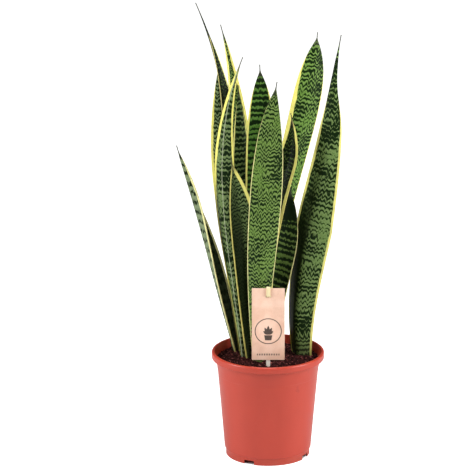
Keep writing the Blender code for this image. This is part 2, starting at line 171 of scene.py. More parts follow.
# Tone is how light the green is: partly the leaf's own tone and partly painted shade, which
# makes leaves lying deep in the clump darker all over. Margins are the yellow edges' widths in
# mm, on the blade's minus and plus sides; bare is how far under the tip they begin and reach
# that width. Period and swing shape the zigzag cross bands, duty makes them darker, patches
# gathers them into dark and light stretches, keel is a pale midrib line, grey a bloom, lemon how
# yellow the margins are and warm how yellowish the green is. The wings' painted shade is how
# dark the lower part of the minus and the plus wing is painted, standing in for the shade that
# falls there, and crown how much darker the blade gets under its tip, over what share of its
# height.
LOOKS = {
    "leaf_far_left": Look(
        tone=0.75, margins=(3.0, 3.0), bare=(8.0, 60.0), period=15.0, duty=-0.3, patches=0.6,
        grey=1.3, lemon=0.1, dusk=(0.0, 0.9),
    ),
    "leaf_tall_left": Look(
        tone=0.35, margins=(1.8, 1.8), bare=(40.0, 110.0), period=6.0, duty=0.5, lemon=0.3,
    ),
    "leaf_back_left": Look(
        tone=0.9, margins=(3.2, 3.6), bare=(15.0, 90.0), period=6.5, grey=0.9, lemon=0.8,
    ),
    "leaf_front_left": Look(
        tone=0.72, margins=(2.4, 5.6), bare=(0.0, 70.0), period=8.0, duty=0.1, patches=1.4,
        keel=0.7, grey=0.6, lemon=0.8,
    ),
    "leaf_slender_left": Look(
        tone=0.75, margins=(3.0, 3.4), bare=(14.0, 70.0), period=5.5, duty=0.1, lemon=0.7,
    ),
    "leaf_banded_left": Look(
        tone=0.6, margins=(2.6, 2.6), period=8.0, swing=1.2, duty=0.2, grey=0.3,
    ),
    "leaf_short_left": Look(
        tone=0.62, margins=(1.4, 4.6), bare=(0.0, 12.0), period=6.0, duty=-0.1, patches=0.3,
        grey=0.45, lemon=0.7, dusk=(0.9, 0.0),
    ),
    "leaf_centre_back": Look(
        tone=0.68, margins=(2.5, 5.0), bare=(22.0, 90.0), period=9.0, swing=0.9, duty=0.0,
        patches=0.4, lemon=0.7, warm=0.35, crown=(0.5, 0.25),
    ),
    "leaf_front_centre": Look(
        tone=0.84, margins=(1.2, 1.2), bare=(20.0, 150.0), period=6.6, swing=3.0, patches=0.9,
        lemon=0.2,
    ),
    "leaf_broad_right": Look(
        tone=0.98, margins=(1.1, 6.0), bare=(22.0, 110.0), period=6.8, swing=3.0, duty=0.15,
        patches=0.8, lemon=0.75, warm=0.7,
    ),
    "leaf_hidden_tip": Look(tone=0.3, margins=(1.0, 1.0), duty=0.8),
    "leaf_hooked": Look(tone=0.28, margins=(2.4, 4.6), bare=(4.0, 40.0), duty=0.5, lemon=0.7),
    "leaf_short_right": Look(
        tone=0.42, margins=(0.9, 0.8), period=9.0, swing=0.7, duty=0.2, lemon=0.2,
        crown=(2.6, 0.30),
    ),
    "leaf_big_right": Look(
        tone=0.90, margins=(3.4, 5.5), bare=(85.0, 190.0), period=8.0, swing=2.8, duty=0.05,
        patches=1.1, grey=0.35, lemon=0.6, dusk=(0.0, 0.95), crown=(0.75, 0.45),
    ),
}

# Card and stake
CARD_THICKNESS = CARD_HIGH.y - CARD_LOW.y
CARD_WIDTH = CARD_HIGH.x - CARD_LOW.x
CARD_Y = 0.5 * (CARD_LOW.y + CARD_HIGH.y)
CARD_CORNER = 1.0 * MM
SLOT_BELOW_TOP = 13.0 * MM
STAKE_WIDTH = STAKE_HIGH.x - STAKE_LOW.x
STAKE_THICKNESS = 1.3 * MM
PRINT_RADIUS = 19.5 * MM
PRINT_Z = CARD_LOW.z + 45.0 * MM
TICKS_Z = CARD_LOW.z + 8.5 * MM
TICK_PITCH = 7.2 * MM
TICK_REACH = 1.5 * MM
TICK_ROW_REACH = 17.0 * MM
GLYPH_FOOT_DROP = 5.5 * MM
GLYPH_LEAF_WIDTH = 2.3 * MM
GLYPH_LEAVES = ((-52.0, 9.5), (-26.0, 12.5), (0.0, 14.5), (26.0, 12.5), (52.0, 9.5))
CARD_SOFT_EDGE = 0.15 * MM
STAKE_SOFT_EDGE = 0.3 * MM

# Crumbs of the mix
SOIL_RINGS = 70
SOIL_TURNS = 220
SETTLE_RUN = 4.0 * MM
CRUMB_COUNT = 1500
CRUMB_SMALLEST = 0.8
CRUMB_LARGEST = 2.1
BARK_SHARE = 0.12
BARK_SCALE = 1.6
CRUMB_CLEARANCE = 2.2 * MM

# Bands and margins of the leaves
ZIGZAG_STEP = 3.4 * MM
ZIGZAG_WANDER = 10.0 * MM
BAND_TEETH = 3.6 * MM
BAND_DRIFT = 15.0 * MM
# Painted shade on the lower wings: where it begins, where it is full, and how ragged its edge is
PAINTED_SHADE_FROM = 340.0 * MM
PAINTED_SHADE_FULL = 170.0 * MM
PAINTED_SHADE_WANDER = 6.0 * MM
MARGIN_NICK = 1.3 * MM
RIPPLE_HEIGHT = 0.8 * MM
RIPPLE_RATE = 16.0

# Colours: pot and mix
PLASTIC = (0.46, 0.046, 0.024)
PLASTIC_WORN = (0.68, 0.20, 0.14)
PLASTIC_SPOT = (0.30, 0.03, 0.02)
PLASTIC_DUST = (0.36, 0.13, 0.085)
PEAT_SHADES = (
    (0.22, (0.003, 0.001, 0.001)),
    (0.46, (0.014, 0.002, 0.002)),
    (0.66, (0.060, 0.010, 0.010)),
    (0.90, (0.26, 0.085, 0.080)),
)
PEAT_FLECK = (0.42, 0.13, 0.12)

# Colours: leaves, cool before warm
FRESH_GREEN = ((0.055, 0.22, 0.020), (0.155, 0.26, 0.050))
PALE_GREEN = ((0.12, 0.30, 0.045), (0.29, 0.39, 0.130))
GREY_BLOOM = (0.27, 0.33, 0.20)
BAND_GREEN = (0.005, 0.019, 0.002)
# Painted shade on the lower wings, near-black
PAINTED_SHADE_GREEN = (0.006, 0.012, 0.003)
FOOT_BROWN = (0.035, 0.035, 0.018)
MIDRIB_GREEN = (0.42, 0.46, 0.30)
MARGIN_CREAM = (0.72, 0.70, 0.36)
MARGIN_LEMON = (0.80, 0.73, 0.13)
MARGIN_OLIVE = (0.34, 0.34, 0.08)
MARGIN_HAIR = (0.42, 0.28, 0.10)
DRY_TIP = (0.050, 0.050, 0.034)

# Colours: card, stake and floor
KRAFT = ((0.74, 0.46, 0.33), (0.84, 0.58, 0.45))
KRAFT_FLECK = (0.42, 0.22, 0.12)
INK = (0.012, 0.006, 0.005)
CREAM_LOW = (0.84, 0.78, 0.68)
CREAM_HIGH = (0.82, 0.70, 0.40)
CREAM_SOILED = (0.20, 0.10, 0.06)
FLOOR_GREY = (0.60, 0.60, 0.60)
FLOOR_GLOW_UNSEEN = (0.16, 0.16, 0.16)
FLOOR_GLOW_SEEN = (1.0, 1.0, 1.0)

# Studio
FLOOR_REACH = 30.0
BACKDROP_UNSEEN = 0.10
LIGHTS = (
    # name, place, size, power
    ("left softbox", (-1.6, -0.60, 0.95), (0.6, 1.4), 34.0),
    ("right softbox", (1.6, -0.60, 0.95), (0.6, 1.4), 38.0),
    ("front fill", (0.30, -2.6, 1.6), (0.6, 0.6), 8.0),
    ("top light", (0.0, -0.2, 2.2), (0.8, 0.8), 20.0),
)


# ---------------------------------------------------------------------------------------------
# Shader maths
# ---------------------------------------------------------------------------------------------


class Value:
    """A shader socket that takes Python's operators, each of which adds a Math node."""

    def __init__(self, finish, socket):
        self.finish = finish
        self.socket = socket

    def math(self, operation, *others):
        inputs = dict(enumerate((self, *others)))
        return self.finish.node("ShaderNodeMath", {"operation": operation}, inputs)

    def __add__(self, other):
        return self.math("ADD", other)

    __radd__ = __add__

    def __sub__(self, other):
        return self.math("SUBTRACT", other)

    def __rsub__(self, other):
        return (self * -1.0) + other

    def __mul__(self, other):
        return self.math("MULTIPLY", other)

    __rmul__ = __mul__

    def __truediv__(self, other):
        return self.math("DIVIDE", other)

    def __pow__(self, other):
        return self.math("POWER", other)

    def __abs__(self):
        return self.math("ABSOLUTE")

    def sine(self):
        return self.math("SINE")

    def most(self, other):
        return self.math("MAXIMUM", other)

    def rise(self, low, high):
        """0 below low, 1 above high, and smooth between them; low over high turns it round."""
        flip = low > high
        settings = {"interpolation_type": "SMOOTHSTEP"}
        ends = (1.0, 0.0) if flip else (0.0, 1.0)
        inputs = {0: self, 1: min(low, high), 2: max(low, high), 3: ends[0], 4: ends[1]}
        return self.finish.node("ShaderNodeMapRange", settings, inputs)


class Finish:
    """A material being made: its nodes, and the shader they feed."""

    def __init__(self, name, **constants):
        self.material = bpy.data.materials.new(name)
        self.material.use_nodes = True
        self.tree = self.material.node_tree
        self.shader = self.tree.nodes["Principled BSDF"]
        for socket, value in constants.items():
            self.shader.inputs[socket.replace("_", " ")].default_value = value

    def node(self, kind, settings=None, inputs=None, output=0):
        """A node with its settings made first, then its sockets' values or links."""
        node = self.tree.nodes.new(kind)
        for name, value in (settings or {}).items():
            if name == "stops":
                ramp = node.color_ramp
                while len(ramp.elements) < len(value):
                    ramp.elements.new(1.0)
                for stop, (place, colour) in zip(ramp.elements, value):
                    stop.position = place
                    stop.color = (*colour, 1.0)
            else:
                setattr(node, name, value)
        for name, value in (inputs or {}).items():
            if isinstance(value, Value):
                self.tree.links.new(value.socket, node.inputs[name])
            else:
                node.inputs[name].default_value = value
        return Value(self, node.outputs[output])

    def feed(self, socket, value):
        self.tree.links.new(value.socket, self.shader.inputs[socket])

    def attribute(self, name):
        return self.node("ShaderNodeAttribute", {"attribute_name": name}, output="Fac")

    def place(self):
        """The point's (x, y, z) in the object's own space."""
        point = self.node("ShaderNodeTexCoord", output="Object")
        parts = self.node("ShaderNodeSeparateXYZ", inputs={0: point}).socket.node
        return [Value(self, output) for output in parts.outputs]

    def vector(self, x, y, z):
        return self.node("ShaderNodeCombineXYZ", inputs={0: x, 1: y, 2: z})

    def noise(self, point, scale, detail=2.0, rough=0.5):
        inputs = {"Vector": point, "Scale": scale, "Detail": detail, "Roughness": rough}
        return self.node("ShaderNodeTexNoise", {"noise_dimensions": "3D"}, inputs)

    def cells(self, point, scale):
        inputs = {"Vector": point, "Scale": scale}
        return self.node("ShaderNodeTexVoronoi", {"feature": "F1"}, inputs)

    def mix(self, share, first, second):
        settings = {"data_type": "RGBA", "clamp_factor": True}
        inputs = {0: share, 6: self.colour(first), 7: self.colour(second)}
        return self.node("ShaderNodeMix", settings, inputs, output=2)

    def tint(self, colour, strength):
        """A colour made lighter or darker by a varying strength."""
        inputs = {0: colour, "Scale": strength}
        return self.node("ShaderNodeVectorMath", {"operation": "SCALE"}, inputs)

    @staticmethod
    def colour(one):
        return one if isinstance(one, Value) else (*one, 1.0)

    def bump(self, height, distance):
        inputs = {"Height": height, "Distance": distance, "Strength": 1.0}
        self.feed("Normal", self.node("ShaderNodeBump", None, inputs))
        return self.material


# ---------------------------------------------------------------------------------------------
# Mesh tools
# ---------------------------------------------------------------------------------------------


def new_piece(name, bm, material, slot=None, node=None, smooth=40.0):
    """The bmesh as a piece that rides on the plant's one body."""
    mesh = bpy.data.meshes.new(name)
    bm.to_mesh(mesh)
    bm.free()
    mesh.materials.append(material)
    mesh.shade_smooth()
    mesh.set_sharp_from_angle(angle=math.radians(smooth))
    piece = bpy.data.objects.new(name, mesh)
    bpy.context.scene.collection.objects.link(piece)
    if slot:
        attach(piece, "root")
    if node:
        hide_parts(node)
    return piece


def cut(piece, cutter):
    """Takes the cutter's shape out of the piece for good."""
    modifier = piece.modifiers.new("cut", "BOOLEAN")
    modifier.operation = "DIFFERENCE"
    modifier.solver = "EXACT"
    modifier.object = cutter
    graph = bpy.context.evaluated_depsgraph_get()
    mesh = bpy.data.meshes.new_from_object(piece.evaluated_get(graph))
    piece.modifiers.clear()
    piece.data = mesh
    bpy.data.objects.remove(cutter)


def arc(centre, radius, first, last, count):
    """Points on a circle from the first angle to the last, in degrees."""
    turns = [math.radians(first + (last - first) * i / count) for i in range(count + 1)]
    return [(centre[0] + radius * math.cos(a), centre[1] + radius * math.sin(a)) for a in turns]


def turned(profile, steps):
    """A closed shell from a profile of (radius, z) points whose ends lie on the pot's axis."""
    bm = bmesh.new()
    verts = [bm.verts.new((AXIS_X + radius, 0.0, z)) for radius, z in profile]
    edges = [bm.edges.new(pair) for pair in zip(verts, verts[1:])]
    bmesh.ops.spin(
        bm, geom=verts + edges, cent=(AXIS_X, 0.0, 0.0), axis=(0.0, 0.0, 1.0),
        angle=math.tau, steps=steps, use_merge=True,
    )
    bmesh.ops.remove_doubles(bm, verts=bm.verts, dist=0.00001)
    bmesh.ops.recalc_face_normals(bm, faces=bm.faces)
    return bm


def box_at(bm, centre, size, turn=0.0):
    """A cube of this size, turned round the pot's axis."""
    spin = Matrix.Translation((AXIS_X, 0.0, 0.0)) @ Matrix.Rotation(turn, 4, "Z")
    place = spin @ Matrix.Translation(centre) @ Matrix.Diagonal((*size, 1.0))
    return bmesh.ops.create_cube(bm, size=1.0, matrix=place)["verts"]


# ---------------------------------------------------------------------------------------------
# Finishes
# ---------------------------------------------------------------------------------------------


def pot_finish():
    """Satin moulded plastic with faint flow streaks, scuffs and a dusty foot."""
    made = Finish("terracotta plastic", Roughness=0.38, IOR=1.47)
    x, y, z = made.place()
    point = made.vector(x, y, z)
    streaks = made.noise(made.vector(x * 1.0, y * 1.0, z * 0.18), 60.0, 3.0)
    cloud = made.noise(point, 22.0, 3.0, 0.6)
    scuffs = made.noise(made.vector(x, y, z * 3.0), 420.0, 2.0, 0.7)
    mottle = 0.90 + cloud * 0.14 + streaks * 0.08
    body = made.tint(PLASTIC, mottle)
    worn = scuffs.rise(0.66, 0.80) * 0.22
    colour = made.mix(worn, body, PLASTIC_WORN)
    spots = made.noise(point, 75.0, 1.0).rise(0.74, 0.80) * z.rise(0.02, 0.05)
    colour = made.mix(spots * 0.35, colour, PLASTIC_SPOT)
    dust = z.rise(16.0 * MM, 0.0) * cloud.rise(0.35, 0.75)
    colour = made.mix(dust * 0.30, colour, PLASTIC_DUST)
    made.feed("Base Color", colour)
    made.feed("Roughness", 0.25 + cloud * 0.14 + scuffs * 0.06 + dust * 0.2)
    peel = made.noise(point, 900.0, 2.0, 0.6)
    seam = abs(z - (SHOULDER_Z + 1.0 * MM)).rise(0.5 * MM, 0.0)
    return made.bump(peel * 0.25 + streaks * 0.5 + seam * 1.2, 0.12 * MM)


def soil_finish():
    """Damp peat and bark: dark red-brown, each crumb its own shade, with a few dry flecks."""
    made = Finish("potting mix", Roughness=0.9, IOR=1.4, Specular_IOR_Level=0.2)
    x, y, z = made.place()
    point = made.vector(x, y, z)
    crumbs = made.cells(point, 420.0)
    grain = made.noise(point, 900.0, 4.0, 0.7)
    cloud = made.noise(point, 60.0, 2.0)
    shade = (crumbs * 0.6 + grain * 0.8 + cloud * 0.5) * 0.55
    colour = made.node("ShaderNodeValToRGB", {"stops": PEAT_SHADES}, {0: shade})
    fleck = made.noise(point, 300.0, 1.0).rise(0.62, 0.68)
    colour = made.mix(fleck * 0.7, colour, PEAT_FLECK)
    made.feed("Base Color", colour)
    made.feed("Roughness", 0.98 - cloud * 0.25)
    return made.bump(grain + crumbs, 0.8 * MM)


def leaf_finish(leaf, look, seed):
    """A waxy blade: light green crossed by dark zigzag bands, yellow margins and a dry awl tip."""
    made = Finish(
        leaf.name.replace("_", " "), Roughness=0.4, IOR=1.36, Specular_IOR_Level=0.13,
    )
    across = made.attribute("across")
    along = made.attribute("along")
    edge = made.attribute("edge")
    tip = made.attribute("tip")

    def grain(wide, far, turn, detail):
        """Noise on the blade: how fine it is across and along, its own place and its detail."""
        return made.noise(made.vector(across * wide, along * far, seed + turn), 1.0, detail)

    # Bands: zigzag lines across the blade, with ragged edges, breaks and thin lines between them
    wander = grain(110.0, 26.0, 0.0, 2.0) - 0.5
    size = grain(70.0, 40.0, 1.0, 1.0).rise(0.36, 0.60)
    teeth = grain(420.0, 130.0, 3.0, 3.0) - 0.5
    drift = grain(16.0, 40.0, 6.0, 2.0) - 0.5
    patch = grain(26.0, 30.0, 9.0, 2.0) - 0.5
    broken = grain(330.0, 240.0, 12.0, 3.0) - 0.5
    zigzag = (abs(across) + wander * ZIGZAG_WANDER).math("PINGPONG", ZIGZAG_STEP)
    zigzag = zigzag * (look.swing * 0.50)
    shift = zigzag * (size + 0.3) + teeth * BAND_TEETH + drift * BAND_DRIFT
    phase = (along + shift) * (math.tau / (look.period * MM))
    bands = phase.sine()
    between = (phase * 2.0 + teeth * 3.0).sine().rise(0.55, 1.0)
    weight = bands + patch * (look.patches * 5.0) + broken * 3.4 + look.duty * 1.6
    crown, reach = look.crown
    if crown:
        weight = weight + tip.rise(reach * leaf.rise, 0.3 * reach * leaf.rise) * crown
    dark = weight.rise(-0.60, 0.65)
    thin = between * (broken + 0.55) * 0.45

    # Greens
    fibre = grain(1500.0, 40.0, 15.0, 2.0)
    mottle = grain(700.0, 420.0, 17.0, 2.0)
    fresh = made.mix(look.warm, *FRESH_GREEN)
    pale = made.mix(look.warm, *PALE_GREEN)
    fresh = made.mix((patch * 1.6 + mottle * 1.3 - 0.25).most(0.0), fresh, pale)
    fresh = made.mix(look.grey * 0.6, fresh, GREY_BLOOM)
    # The tone is partly the leaf's own and partly painted shade: leaves deep in the clump are
    # darker all over
    light = made.tint(fresh, (fibre * 0.5 + mottle * 0.5 + 0.5) * look.tone)
    deep = made.tint(BAND_GREEN, (fibre * 0.8 + 0.5) * look.tone)
    green = made.mix(dark + thin, light, deep)
    # Painted shade: the lower part of a wing darkens to near-black, where shade falls in the clump
    low = along.rise(PAINTED_SHADE_FROM, PAINTED_SHADE_FULL)
    ragged = across + wander * PAINTED_SHADE_WANDER
    for wing, (start, full) in zip(look.dusk, ((3.0, -5.0), (-3.0, 5.0))):
        if wing:
            dusk = ragged.rise(start * MM, full * MM) * low * wing
            green = made.mix(dusk, green, PAINTED_SHADE_GREEN)
    foot = along.rise(45.0 * MM, -4.0 * MM)
    green = made.mix(foot * 0.5, green, FOOT_BROWN)
    if look.keel:
        line = abs(across + wander * (1.5 * MM)).rise(0.9 * MM, 0.2 * MM) * look.keel
        green = made.mix(line, green, MIDRIB_GREEN)

    # Margins: wider on one side, wavering, and fading out under the tip
    side = across.rise(-1.0 * MM, 1.0 * MM)
    minus, plus = look.margins
    width = side * ((plus - minus) * MM) + minus * MM
    wobble = made.noise(made.vector(side * 5.0, along * 45.0, seed + 18.0), 1.0, 2.0) - 0.5
    nick = grain(300.0, 130.0, 21.0, 1.0) - 0.5
    start, full = look.bare
    narrow = tip.rise(start * MM, full * MM)
    inside = edge - width * narrow * (1.0 + wobble * 0.5) + nick * MARGIN_NICK
    margin = inside.rise(0.30 * MM, -0.30 * MM) * narrow.rise(0.0, 0.12)
    yellow = made.mix(look.lemon, MARGIN_CREAM, MARGIN_LEMON)
    yellow = made.tint(yellow, 1.04 + wobble * 0.5)
    olive = made.mix(foot * 0.7 + fibre * 0.14, yellow, MARGIN_OLIVE)
    hair = edge.rise(0.5 * MM, 0.1 * MM)
    olive = made.mix(hair * 0.35, olive, MARGIN_HAIR)
    colour = made.mix(margin, green, olive)

    # Awl tip
    dry = tip.rise(26.0 * MM, 8.0 * MM)
    colour = made.mix(dry * 0.92, colour, DRY_TIP)
    made.feed("Base Color", colour)
    made.feed("Roughness", 0.38 + fibre * 0.10 + patch * 0.16 + foot * 0.25)
    ridges = grain(420.0, 6.0, 24.0, 2.0)
    return made.bump(ridges + fibre * 0.22 + dark * 0.10 + margin * 0.15, 0.35 * MM)


def card_finish():
    """Kraft board, with a ring, a small plant and a row of ticks printed on its front."""
    made = Finish("kraft board", Roughness=0.85)
    x, y, z = made.place()
    right = x - AXIS_X
    up = z - PRINT_Z
    point = made.vector(x, y, z)
    fibres = made.noise(made.vector(x * 3.0, y, z), 380.0, 4.0, 0.7)
    cloud = made.noise(point, 45.0, 3.0)
    flecks = made.noise(made.vector(x, y, z * 2.4), 700.0, 1.0).rise(0.70, 0.78)
    board = made.mix(cloud.rise(0.3, 0.7), *KRAFT)
    board = made.tint(board, 0.88 + fibres * 0.24)
    board = made.mix(flecks * 0.35, board, KRAFT_FLECK)

    # Ring
    radius = (right * right + up * up) ** 0.5
    ring = abs(radius - PRINT_RADIUS).rise(0.85 * MM, 0.55 * MM)

    # Five leaves fanned out over a small pot, all in lens and box shapes
    glyph = None
    foot_up = up + GLYPH_FOOT_DROP
    for turn, reach in GLYPH_LEAVES:
        angle = math.radians(turn)
        run = right * math.sin(angle) + foot_up * math.cos(angle)
        off = right * math.cos(angle) - foot_up * math.sin(angle)
        share = run / (reach * MM)
        lens = share * (1.0 - share) * (4.0 * GLYPH_LEAF_WIDTH) - abs(off)
        shape = lens.rise(0.0, 0.25 * MM)
        glyph = shape if glyph is None else glyph.most(shape)
    bowl_side = abs(right) + (up + 6.5 * MM) * -0.18
    bowl = bowl_side.rise(6.2 * MM, 5.9 * MM) * abs(up + 10.2 * MM).rise(4.1 * MM, 3.8 * MM)
    glyph = glyph.most(bowl)

    # Ticks
    beat = abs((right * (math.tau / TICK_PITCH)).sine())
    tall = abs(z - TICKS_Z).rise(TICK_REACH, TICK_REACH - 0.2 * MM)
    wide = abs(right).rise(TICK_ROW_REACH, TICK_ROW_REACH - 0.2 * MM)
    ticks = beat.rise(0.50, 0.62) * tall * wide

    front = y.rise(CARD_Y, CARD_Y - 0.25 * CARD_THICKNESS)
    ink = ring.most(glyph).most(ticks * 0.8) * front
    ink = ink * (0.80 + fibres * 0.25)
    made.feed("Base Color", made.mix(ink, board, INK))
    made.feed("Roughness", 0.88 - ink * 0.15)
    return made.bump(fibres + ink * 0.3, 0.10 * MM)


def stake_finish():
    """Cream plastic strip with fine draw lines, soiled where it enters the mix."""
    made = Finish("cream plastic", Roughness=0.42, IOR=1.47)
    x, y, z = made.place()
    lines = made.noise(made.vector(x * 1.0, y * 1.0, z * 0.02), 2600.0, 2.0)
    cloud = made.noise(made.vector(x, y, z), 120.0, 2.0)
    soiled = z.rise(SOIL_TOP + 4.0 * MM, SOIL_TOP + 1.0 * MM) * cloud.rise(0.3, 0.6)
    cream = made.mix(z.rise(CARD_LOW.z, CARD_HIGH.z), CREAM_LOW, CREAM_HIGH)
    colour = made.tint(cream, 0.9 + cloud * 0.14)
    made.feed("Base Color", made.mix(soiled * 0.6, colour, CREAM_SOILED))
    made.feed("Roughness", 0.36 + lines * 0.14)
    return made.bump(lines, 0.06 * MM)


def floor_finish():
    """A pale floor that is seen white, and that lights the plant only a little from below."""
    made = Finish("pale floor", Roughness=0.9, Emission_Strength=1.0)
    made.shader.inputs["Base Color"].default_value = made.colour(FLOOR_GREY)
    seen = made.node("ShaderNodeLightPath", output="Is Camera Ray")
    x, y, _ = made.place()
    under = ((x - AXIS_X) * (x - AXIS_X) + y * y) ** 0.5
    # Painted shadow: the floor's glow dies out under the pot's foot, so the foot ring and notches
    # look dark
    clear = under.rise(0.92 * FOOT_RADIUS, FOOT_RADIUS)
    glow = made.mix(seen, FLOOR_GLOW_UNSEEN, FLOOR_GLOW_SEEN)
    made.feed("Emission Color", made.tint(glow, clear))
    return made.material


# ---------------------------------------------------------------------------------------------
# Pot and soil
# ---------------------------------------------------------------------------------------------


def pot_profile():
    """(radius, z) from the floor's middle, up the inside, over the lip and down the outside."""
    heel = HEEL_RADIUS - POT_WALL
    inside = [(0.0, FLOOR_TOP)]
    inside += arc((heel - FLOOR_FILLET, FLOOR_TOP + FLOOR_FILLET), FLOOR_FILLET, -90, 0, 6)
    inside += [(SHOULDER_RADIUS - POT_WALL, SHOULDER_Z), (NECK_RADIUS - POT_WALL, NECK_Z)]
    edge = RIM_RADIUS - LIP_WIDTH
    lip = arc((edge + 1.0 * MM, POT_HEIGHT - 1.0 * MM), 1.0 * MM, 180, 90, 5)
    lip += arc((RIM_RADIUS - 2.2 * MM, POT_HEIGHT - 2.2 * MM), 2.2 * MM, 90, 0, 8)
    skirt_z = POT_HEIGHT - LIP_HEIGHT
    skirt = arc((RIM_RADIUS - 0.6 * MM, skirt_z + 0.6 * MM), 0.6 * MM, 0, -90, 4)
    skirt += [
        (RIM_RADIUS - LIP_SKIRT, skirt_z),
        (RIM_RADIUS - LIP_SKIRT, POT_HEIGHT - LIP_TOP),
        (edge + POT_WALL, POT_HEIGHT - LIP_TOP),
    ]
    outside = [
        (NECK_RADIUS, NECK_Z),
        (SHOULDER_RADIUS + 0.25 * MM, SHOULDER_Z + 2.0 * MM),
        (SHOULDER_RADIUS, SHOULDER_Z),
        (SHOULDER_RADIUS - 0.2 * MM, SHOULDER_Z - 3.0 * MM),
    ]
    round_heel = arc((HEEL_RADIUS - 1.9 * MM, HEEL_Z - 0.5 * MM), 1.9 * MM, 4, -62, 5)
    foot_inside = FOOT_RADIUS - FOOT_WALL
    foot = [
        (FOOT_RADIUS, FOOT_HEIGHT),
        (FOOT_RADIUS, 0.4 * MM),
        (FOOT_RADIUS - 0.4 * MM, 0.0),
        (foot_inside, 0.0),
        (foot_inside, FOOT_HEIGHT),
        (0.0, FOOT_HEIGHT),
    ]
    return inside + lip + skirt + outside + round_heel + foot


def make_pot():
    finish = pot_finish()
    shell = turned(pot_profile(), POT_TURNS)
    pot = new_piece("moulded_pot", shell, finish, "terracotta_plastic", "nursery_pot")
    bm = bmesh.new()
    for i in range(NOTCH_COUNT):
        turn = math.radians(NOTCH_TURN + 360.0 * i / NOTCH_COUNT)
        centre = (0.0, 0.5 * FOOT_WALL - FOOT_RADIUS, 0.0)
        box_at(bm, centre, (NOTCH_WIDTH, 4 * FOOT_WALL, 2 * NOTCH_HEIGHT), turn)
    bmesh.ops.bevel(
        bm, geom=[e for e in bm.edges if min(v.co.z for v in e.verts) > 0.0], offset=1.2 * MM,
        segments=4, profile=0.5, affect="EDGES", material=-1,
    )
    cut(pot, new_piece("notch_cutter", bm, finish))
    bm = bmesh.new()
    for i in range(DRAIN_COUNT):
        turn = math.tau * (i + 0.5) / DRAIN_COUNT
        centre = (AXIS_X + DRAIN_RING * math.sin(turn), DRAIN_RING * math.cos(turn), FOOT_HEIGHT)
        bmesh.ops.create_cone(
            bm, cap_ends=True, segments=32, radius1=DRAIN_RADIUS, radius2=DRAIN_RADIUS,
            depth=6 * FLOOR_WALL, matrix=Matrix.Translation(centre),
        )
    cut(pot, new_piece("drain_cutter", bm, finish))
    pot.data.shade_smooth()
    pot.data.set_sharp_from_angle(angle=math.radians(32.0))


def lumps(x, y):
    """The height of the mix's crumbly top over its plain surface."""
    place = Vector((x, y, 0.0))
    coarse = noise.noise(place * 90.0) * 1.3
    middle = noise.noise(place * 260.0 + Vector((7.0, 0.0, 0.0))) * 0.9
    fine = noise.noise(place * 700.0 + Vector((0.0, 5.0, 0.0))) * 0.4
    return (coarse + middle + fine) * MM


def soil_height(radius):
    share = min(radius / SOIL_RADIUS, 1.0)
    return SOIL_TOP + SOIL_MOUND * (1.0 - share**2)


def leaf_feet():
    """Points round each leaf and the stake where they enter the mix."""
    feet = []
    for leaf in LEAVES:
        for i in range(13):
            feet.append(blade_point(leaf, 0.0, i / 6.0 - 1.0))
    feet.append(Vector((AXIS_X, 0.5 * (STAKE_LOW.y + STAKE_HIGH.y), SOIL_TOP)))
    return feet


def make_soil():
    heel = HEEL_RADIUS - POT_WALL - GAP
    low = SOIL_FLOOR + FLOOR_FILLET
    radii = [SOIL_RADIUS * i / SOIL_RINGS for i in range(SOIL_RINGS + 1)]
    top = [(radius, soil_height(radius)) for radius in radii]
    wall = [(SHOULDER_RADIUS - POT_WALL - GAP, SHOULDER_Z)]
    wall += arc((heel - FLOOR_FILLET, low), FLOOR_FILLET, 0, -90, 4) + [(0.0, SOIL_FLOOR)]
    bm = turned(top + wall, SOIL_TURNS)
    for vert in bm.verts:
        radius = math.hypot(vert.co.x - AXIS_X, vert.co.y)
        if vert.co.z > SOIL_TOP - 1.0 * MM:
            settle = min((SOIL_RADIUS - radius) / SETTLE_RUN, 1.0)
            vert.co.z += lumps(vert.co.x, vert.co.y) * settle - 0.3 * MM
    scatter_crumbs(bm)
    new_piece("potting_mix", bm, soil_finish(), "potting_mix", "soil", smooth=25.0)


def scatter_crumbs(bm):
    """Loose crumbs and bark chips over the mix, kept off the leaves."""
    draw = random.Random(11)
    feet = leaf_feet()
    for _ in range(CRUMB_COUNT):
        radius = (SOIL_RADIUS - 1.5 * MM) * math.sqrt(draw.random())
        turn = math.tau * draw.random()
        size = draw.uniform(CRUMB_SMALLEST, CRUMB_LARGEST) * MM
        size *= BARK_SCALE if draw.random() < BARK_SHARE else 1.0
        x = AXIS_X + radius * math.cos(turn)
        y = radius * math.sin(turn)
        if radius + size > SOIL_RADIUS - 0.4 * MM:
            continue
        if any(math.hypot(foot.x - x, foot.y - y) < CRUMB_CLEARANCE + size for foot in feet):
            continue
        height = soil_height(radius) + lumps(x, y) + draw.uniform(-0.2, 0.35) * size
        stretch = [draw.uniform(*ends) for ends in ((0.8, 1.7), (0.7, 1.1), (0.45, 0.8))]
        lean = [draw.uniform(-0.5, 0.5) for _ in range(2)]
        tilt = Euler([*lean, draw.uniform(0.0, math.tau)])
        place = Matrix.Translation((x, y, height)) @ tilt.to_matrix().to_4x4()
        place = place @ Matrix.Diagonal((*stretch, 1.0))
        crumb = bmesh.ops.create_icosphere(bm, subdivisions=1, radius=size, matrix=place)
        middle = Vector((x, y, height))
        for vert in crumb["verts"]:
            vert.co = middle + (vert.co - middle) * draw.uniform(0.75, 1.2)


# ---------------------------------------------------------------------------------------------
# Leaves
# ---------------------------------------------------------------------------------------------


def through(values, places, t):
    """The smooth curve through the values at these places, read at t."""
    total = 0.0 * values[0]
    for i, place in enumerate(places):
        weight = 1.0
        for j, other in enumerate(places):
            if j != i:
                weight *= (t - other) / (place - other)
        total += weight * values[i]
    return total


def ease(share):
    share = min(max(share, 0.0), 1.0)
    return share * share * (3.0 - 2.0 * share)


